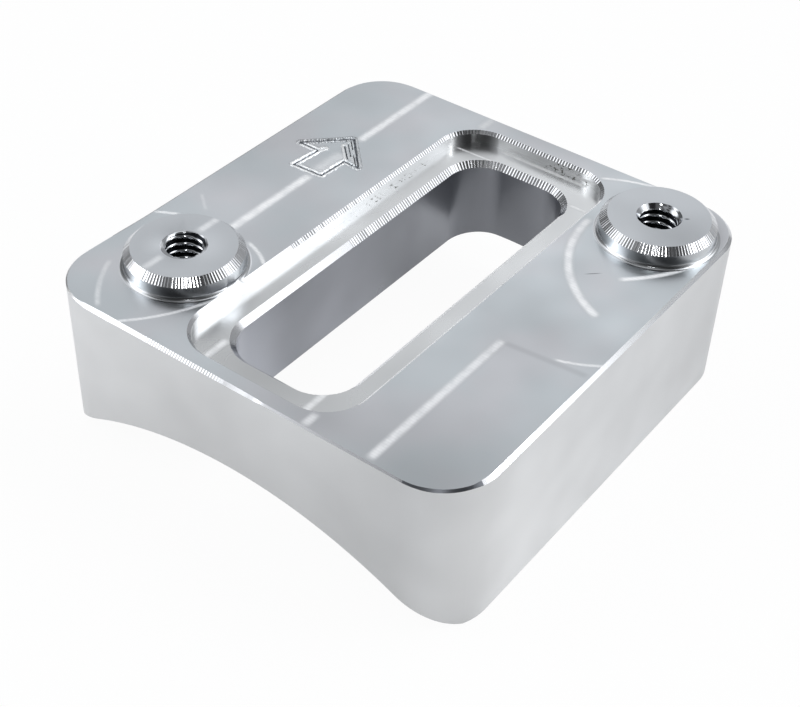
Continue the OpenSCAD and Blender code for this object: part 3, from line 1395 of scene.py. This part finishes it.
BOSS_WALL_PAINTED_SHADING: tuple[PaintedShading, ...] = (
    PaintedShading((-8.7, 9.5, 15.5), (3.0, 12.5, 4.0), 0.82),
    PaintedShading((-11.3, -18.9, 16.8), (4.6, 4.6, 2.4), 0.22),
    PaintedShading((19.6, 12.5, 16.8), (4.6, 4.6, 2.4), 0.22),
)
LEDGE_PAINTED_SHADING: tuple[PaintedShading, ...] = (
    PaintedShading((-8.4, 10.0, 14.85), (2.2, 12.0, 3.0), 0.88),
    PaintedShading((-6.8, 20.2, 14.85), (3.6, 3.2, 3.0), 0.52),
    PaintedShading((0.2, -20.2, 14.85), (8.0, 5.0, 3.0), 0.87),
    PaintedShading((-8.1, -13.8, 14.85), (1.5, 3.0, 3.0), 0.82),
    PaintedShading((-7.3, 0.6, 14.85), (1.8, 4.5, 3.0), 1.13),
)
SIDE_PAINTED_SHADING: tuple[PaintedShading, ...] = (
    PaintedShading((19.5, -24.4, 8.0), (20.0, 10.0, 40.0), 0.80),
    PaintedShading((-3.0, -24.4, 8.0), (14.0, 8.0, 40.0), 0.90),
    PaintedShading((22.85, 24.4, 8.0), (8.0, 22.0, 40.0), 0.84),
    PaintedShading((22.85, -13.0, 8.0), (4.0, 9.0, 40.0), 1.05),
)
OPENING_PAINTED_SHADING: tuple[PaintedShading, ...] = (
    PaintedShading((-5.9, -17.5, 8.0), (8.0, 10.0, 30.0), 1.8),
    PaintedShading((-5.9, -3.0, 8.0), (6.0, 10.0, 30.0), 1.28),
    PaintedShading((-2.0, 17.0, 8.0), (12.0, 18.0, 30.0), 0.72),
)
WALL_PAINTED_SHADING: tuple[PaintedShading, ...] = (
    PaintedShading((-8.7, 9.5, 15.5), (3.0, 12.5, 4.0), 0.82),
    PaintedShading((-7.0, 20.6, 15.5), (3.2, 3.2, 3.0), 0.40),
    PaintedShading((1.0, 21.8, 15.5), (7.5, 1.6, 3.0), 0.62),
    PaintedShading((9.1, 19.0, 15.5), (1.4, 2.0, 3.0), 0.34),
)
# Painted highlight of the top's long track, where it crosses the face of the near boss.
BOSS_PAINTED_HIGHLIGHTS: tuple[Mark, ...] = (
    Streak((-15.05, -19.2), (-15.05, -16.7), 0.9, 0.55),
    Streak((-15.05, -11.9), (-15.05, -9.3), 0.9, 0.65),
)
FINISHES: dict[Skin, MilledFinish] = {
    # Face-milled flat: soft grey sheen, with painted highlights in pale tracks where passes of the cutter overlap,
    # and patches of painted light and shade.
    Skin.TOP: MilledFinish(
        "aluminium_face_milled", "#cbd1d5", 0.30, 0.02,
        marks=TOP_PAINTED_HIGHLIGHTS, scratches=TOP_SCRATCHES, painted_shading=TOP_PAINTED_SHADING, second="#cfd1d5",
    ),
    # Walls cut by the side of the mill: brighter, with faint upright lines and patches of painted light and shade.
    Skin.SIDE: MilledFinish(
        "aluminium_side_milled", "#dfe0e1", 0.34, 0.03, grain=(0.9, 0.9, 30.0), grain_depth=0.004, painted_shading=SIDE_PAINTED_SHADING
    ),
    # Chamfers straight from the chamfer mill: glossy, so that every rib shows.
    Skin.EDGE: MilledFinish("aluminium_chamfer_milled", "#d8dadd", 0.17, 0.02),
    # Pocket floor: a little brighter than the top, with nicks along its walls, painted highlights along the cutter's
    # tracks and patches of painted light and shade.
    Skin.LEDGE: MilledFinish(
        "aluminium_pocket_milled", "#d6d8d9", 0.28, 0.02,
        marks=LEDGE_PAINTED_HIGHLIGHTS, specks=LEDGE_SPECKS, painted_shading=LEDGE_PAINTED_SHADING,
    ),
    # Low wall of the pocket: glossy, so that it takes the lamps' white and the dark between them, with a painted
    # highlight in its far left corner and painted shade along its left and far sides.
    Skin.POCKET_WALL: MilledFinish(
        "aluminium_pocket_wall", "#dcddde", 0.19, 0.02, marks=WALL_PAINTED_HIGHLIGHTS, specks=WALL_SPECKS, painted_shading=WALL_PAINTED_SHADING
    ),
    # Deep slot wall: painted dark grey as the shade deep in the slot, with faint upright chatter lines, and painted
    # light and shade along it.
    Skin.OPENING: MilledFinish(
        "aluminium_slot_milled", "#a2a4aa", 0.33, grain=(0.8, 0.8, 20.0), grain_depth=0.008, painted_shading=OPENING_PAINTED_SHADING
    ),
    # Hollow for the tube: bored in rows along the tube.
    Skin.SADDLE: MilledFinish("aluminium_saddle_milled", "#cfd2d4", 0.33, grain=(0.5, 12.0, 0.5), grain_depth=0.006),
    # Boss walls: cut in rings by the mill's side, glossy, with painted shade on their fronts.
    Skin.BOSS_SIDE: MilledFinish("aluminium_boss_wall", "#cfd2d5", 0.20, 0.02, painted_shading=BOSS_WALL_PAINTED_SHADING),
    # Boss tops: fine-milled grey, even but for the painted highlight of the top's long track, a small pit, and
    # patches of painted light and shade.
    Skin.BOSS_TOP: MilledFinish(
        "aluminium_boss_face", "#c9cdd1", 0.30, 0.02,
        marks=BOSS_PAINTED_HIGHLIGHTS, scratches=BOSS_SCRATCHES, painted_shading=BOSS_PAINTED_SHADING,
    ),
    # Thread crests and the countersink: cut bright.
    Skin.THREAD: MilledFinish("aluminium_cut_thread", "#c9ccd0", 0.11, 0.02),
    # Thread roots: painted dark, as shade deep in the hole.
    Skin.ROOT: MilledFinish("aluminium_thread_root_painted_shade", "#202226", 0.30, 0.02),
    # Burr beside the engraved lines: torn metal that scatters white.
    Skin.BURR: MilledFinish("aluminium_torn_burr", "#f4f6f7", 0.42, 0.02),
    # Painted shade: the floor of the engraved groove, and the broken edges that take no lamp, painted darker.
    Skin.GROOVE: MilledFinish("aluminium_groove_painted_shade", "#6d7075", 0.30, 0.02),
    # Painted highlight on the rims' +X side: near-white and mostly non-metal, so that they stay pale where they face
    # the pocket's dark.
    Skin.RUBBED: MilledFinish("aluminium_rim_painted_highlight", "#fbfcfd", 0.55, 0.02, metal=0.15),
}


@dataclass(frozen=True)
class Lobe:
    """Soft patch of light or shade in the surroundings.

    Args:
        azimuth: Direction to it in degrees, from +X towards +Y.
        elevation: Degrees above the floor.
        inner: Degrees from its middle over which it is full.
        outer: Degrees from its middle at which it has gone.
        level: Brightness that it adds, or takes away where it is negative.
    """

    azimuth: float
    elevation: float
    inner: float
    outer: float
    level: float


@dataclass(frozen=True)
class Softbox:
    """Rectangular lamp that faces the flange.

    Args:
        name: Name of the lamp.
        place: Its middle, in millimetres.
        width: Its width in millimetres.
        height: Its height in millimetres.
        level: Brightness of its face, where 1 is white.
    """

    name: str
    place: Point
    width: float
    height: float
    level: float

    def build(self) -> bpy.types.Object:
        """Builds the lamp, hidden from the camera itself.

        Returns:
            The lamp.
        """
        data = bpy.data.lights.new(self.name, "AREA")
        data.shape = "RECTANGLE"
        data.size = self.width * METRES
        data.size_y = self.height * METRES
        data.energy = self.level * math.pi * data.size * data.size_y
        lamp = bpy.data.objects.new(self.name, data)
        lamp.location = Vector(self.place) * METRES
        lamp.rotation_mode = "QUATERNION"
        lamp.rotation_quaternion = Vector(self.place).to_track_quat("Z", "Y")
        lamp.visible_camera = False
        bpy.context.scene.collection.objects.link(lamp)
        return lamp


@dataclass(frozen=True)
class Studio:
    """White sweep, soft surroundings and the lamps.

    Args:
        base_level: Brightness of the surroundings at the floor.
        ceiling_level: Their brightness overhead.
        least_level: Brightness that they keep where a lobe takes light away.
        floor_white: Share of plain white in the floor that the camera sees, the rest taking the shadow.
        floor_white_in_metal: Share of white in the floor that the metal mirrors.
        floor_reach: Metres from the flange to the floor's border.
        floor_drop: Metres that the floor lies under the flange.
        pools: Middle, radius and level of painted pools of light in the floor that only the metal mirrors, painted
            shade where the level is negative, in millimetres.
        lobes: Soft patches in the surroundings.
        lamps: The lamps.
    """

    base_level: float = 0.408
    ceiling_level: float = 0.411
    least_level: float = 0.02
    floor_white: float = 0.95
    floor_white_in_metal: float = 0.40
    floor_reach: float = 1.2
    floor_drop: float = 0.00002
    pools: tuple[tuple[Plan, float, float], ...] = (
        ((36.0, -16.0), 30.0, 0.30),
        ((-34.0, -36.0), 34.0, 0.12),
        ((14.0, -40.0), 16.0, -0.10),
    )
    lobes: tuple[Lobe, ...] = (
        Lobe(306.0, 29.6, 31.7, 41.7, -0.29),
        Lobe(59.4, 47.3, 14.2, 24.6, 1.44),
        Lobe(29.3, 0.0, 20.2, 33.3, 1.64),
        Lobe(224.7, 9.3, 16.4, 26.5, 1.33),
        Lobe(199.1, 47.8, 11.1, 21.4, 0.99),
        Lobe(119.1, 35.6, 2.2, 12.2, 0.87),
        Lobe(178.2, 15.2, 17.4, 32.9, -0.81),
        Lobe(37.0, 69.4, 23.5, 34.6, 0.80),
        Lobe(51.7, 52.4, 8.7, 18.7, 1.59),
        Lobe(188.0, 15.9, 36.4, 61.5, 0.55),
        Lobe(7.7, 61.8, 12.8, 22.8, -1.09),
        Lobe(231.0, 55.3, 2.9, 16.3, -0.51),
    )
    lamps: tuple[Softbox, ...] = (
        Softbox("softbox_right", (138.0, 82.0, 104.0), 84.0, 82.0, 0.8),
        Softbox("softbox_left", (-137.0, -106.0, 100.0), 82.0, 82.0, 0.8),
        Softbox("softbox_right_bulb", (134.0, 79.6, 101.0), 22.0, 22.0, 9.0),
        Softbox("softbox_left_bulb", (-133.0, -102.9, 97.1), 22.0, 22.0, 9.0),
        Softbox("lamp_by_camera", (77.0, -102.5, 182.0), 17.0, 20.0, 22.0),
    )

    def build_world(self) -> None:
        """Builds the surroundings: pale all round, brighter low down, with soft patches."""
        world = bpy.data.worlds.new("studio")
        bpy.context.scene.world = world
        world.use_nodes = True
        r = Recipe(world.node_tree)
        way = r.add("ShaderNodeTexCoord", out="Generated")
        height = r.add("ShaderNodeSeparateXYZ", {0: way}, out=2)
        level = r.add(
            "ShaderNodeMapRange",
            {0: height, 1: 0.0, 2: 1.0, 3: self.base_level, 4: self.ceiling_level},
            interpolation_type="SMOOTHSTEP",
        )
        for lobe in self.lobes:
            az, el = math.radians(lobe.azimuth), math.radians(lobe.elevation)
            middle = (math.cos(az) * math.cos(el), math.sin(az) * math.cos(el), math.sin(el))
            near = r.add("ShaderNodeVectorMath", {0: way, 1: middle}, out="Value", operation="DOT_PRODUCT")
            share = r.add(
                "ShaderNodeMapRange",
                {
                    0: near,
                    1: math.cos(math.radians(lobe.outer)),
                    2: math.cos(math.radians(lobe.inner)),
                    3: 0.0,
                    4: lobe.level,
                },
                interpolation_type="SMOOTHSTEP",
            )
            level = r.add("ShaderNodeMath", {0: level, 1: share}, operation="ADD")
        level = r.add("ShaderNodeMath", {0: level, 1: self.least_level}, operation="MAXIMUM")
        light = r.add("ShaderNodeBackground", {"Color": linear("#fbfcfe"), "Strength": level})
        white = r.add("ShaderNodeBackground", {"Color": (1.0, 1.0, 1.0, 1.0), "Strength": 1.0})
        seen = r.add("ShaderNodeLightPath", out="Is Camera Ray")
        both = r.add("ShaderNodeMixShader", {0: seen, 1: light, 2: white})
        r.add("ShaderNodeOutputWorld", {"Surface": both})

    def build_floor(self) -> bpy.types.Object:
        """Builds the white floor, which stays white to the camera and keeps a faint shadow.

        Returns:
            The floor.
        """
        mat = bpy.data.materials.new("white_paper")
        mat.use_nodes = True
        r = Recipe(mat.node_tree)
        paper = r.add("ShaderNodeBsdfDiffuse", {"Color": linear("#f4f5f6")})
        white = r.add("ShaderNodeEmission", {"Color": (1.0, 1.0, 1.0, 1.0), "Strength": 1.0})
        seen = r.add("ShaderNodeLightPath", out="Is Camera Ray")
        through = r.add("ShaderNodeLightPath", out="Is Transmission Ray")
        mirrored = r.add("ShaderNodeLightPath", out="Is Glossy Ray")
        direct = r.add("ShaderNodeMath", {0: seen, 1: through}, operation="MAXIMUM")
        direct = r.add("ShaderNodeMath", {0: direct, 1: self.floor_white}, operation="MULTIPLY")
        glow: float | Socket = self.floor_white_in_metal
        spot = r.add("ShaderNodeTexCoord", out="Object")
        # Painted pools of light, and painted shade where the level is negative, that only the metal's reflections
        # see.
        for centre, radius, level in self.pools:
            middle = (centre[0] * METRES, centre[1] * METRES, 0.0)
            away = r.add("ShaderNodeVectorMath", {0: spot, 1: middle}, out="Value", operation="DISTANCE")
            pool = r.add(
                "ShaderNodeMapRange",
                {0: away, 1: 0.0, 2: radius * METRES, 3: level, 4: 0.0},
                interpolation_type="SMOOTHSTEP",
            )
            glow = r.add("ShaderNodeMath", {0: glow, 1: pool}, operation="ADD")
        second = r.add("ShaderNodeMath", {0: mirrored, 1: glow}, operation="MULTIPLY")
        share = r.add("ShaderNodeMath", {0: direct, 1: second}, operation="MAXIMUM")
        both = r.add("ShaderNodeMixShader", {0: share, 1: paper, 2: white})
        r.add("ShaderNodeOutputMaterial", {"Surface": both})
        mesh = bpy.data.meshes.new("floor")
        reach = self.floor_reach
        mesh.from_pydata(
            [(-reach, -reach, 0.0), (reach, -reach, 0.0), (reach, reach, 0.0), (-reach, reach, 0.0)],
            [],
            [(0, 1, 2, 3)],
        )
        mesh.materials.append(mat)
        floor = bpy.data.objects.new("floor", mesh)
        floor.location.z = -self.floor_drop
        bpy.context.scene.collection.objects.link(floor)
        return floor

    def build(self) -> None:
        """Builds the whole studio."""
        self.build_world()
        self.build_floor()
        for lamp in self.lamps:
            lamp.build()
        view = bpy.context.scene.view_settings
        view.view_transform = "Standard"


@dataclass(frozen=True)
class PhotoCamera:
    """Camera of the photograph, from the flange's own known sizes.

    Args:
        focal_px: Focal length in pixels of a picture 800 wide.
        azimuth: Degrees round the flange.
        elevation: Degrees above it.
        roll: Degrees by which the camera is turned.
        distance: Millimetres from the target.
        target: The point looked at, in millimetres.
    """

    focal_px: float = 1530.4493
    azimuth: float = 35.5868
    elevation: float = 40.1584
    roll: float = 2.1737
    distance: float = 142.7356
    target: Point = (2.5325, -4.3010, 8.0)

    def build(self) -> bpy.types.Object:
        """Builds the camera and makes it the scene's own.

        Returns:
            The camera.
        """
        a, e, roll = (math.radians(v) for v in (self.azimuth, self.elevation, self.roll))
        back = Vector((math.sin(a) * math.cos(e), -math.cos(a) * math.cos(e), math.sin(e)))
        level_right = Vector((math.cos(a), math.sin(a), 0.0))
        level_up = back.cross(level_right)
        right = level_right * math.cos(roll) + level_up * math.sin(roll)
        up = level_up * math.cos(roll) - level_right * math.sin(roll)
        data = bpy.data.cameras.new("photo_camera")
        data.sensor_fit = "HORIZONTAL"
        data.sensor_width = 36.0
        data.lens = self.focal_px * data.sensor_width / PHOTO_WIDTH
        data.clip_start = 0.005
        data.clip_end = 20.0
        camera = bpy.data.objects.new("photo_camera", data)
        spot = (Vector(self.target) + back * self.distance) * METRES
        turn = [[right[i], up[i], back[i], spot[i]] for i in range(3)] + [[0.0, 0.0, 0.0, 1.0]]
        camera.matrix_world = Matrix(turn)
        bpy.context.scene.collection.objects.link(camera)
        bpy.context.scene.camera = camera
        return camera


def sizes_from_cad() -> tuple[BlockSizes, list[BossSizes]]:
    """Reads the flange's overall sizes off the CAD part.

    Returns:
        Sizes of the block, and of the two bosses.
    """
    low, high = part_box("flange")
    boss_height = 2.0
    steep_sink = 3.0
    top = high.z / METRES
    block = BlockSizes(
        width=(high.x - low.x) / METRES, length=(high.y - low.y) / METRES, height=top - boss_height
    )
    bosses = [
        BossSizes((-14.65, -14.25), top, sink_slope=steep_sink),
        BossSizes((16.45, 17.10), top),
    ]
    return block, bosses


def main() -> None:
    """Builds the flange, its finishes, the studio and the camera."""
    logging.basicConfig(level=logging.INFO)
    block, bosses = sizes_from_cad()
    body = FlangeBody(block, OpeningSizes(), bosses)
    piece = body.build()
    body.dress(piece)
    LOG.info("built %s with %d faces", piece.name, len(piece.data.polygons))
    Studio().build()
    LOG.info("built the studio")
    PhotoCamera().build()
    LOG.info("built the camera")


if __name__ == "__main__":
    main()
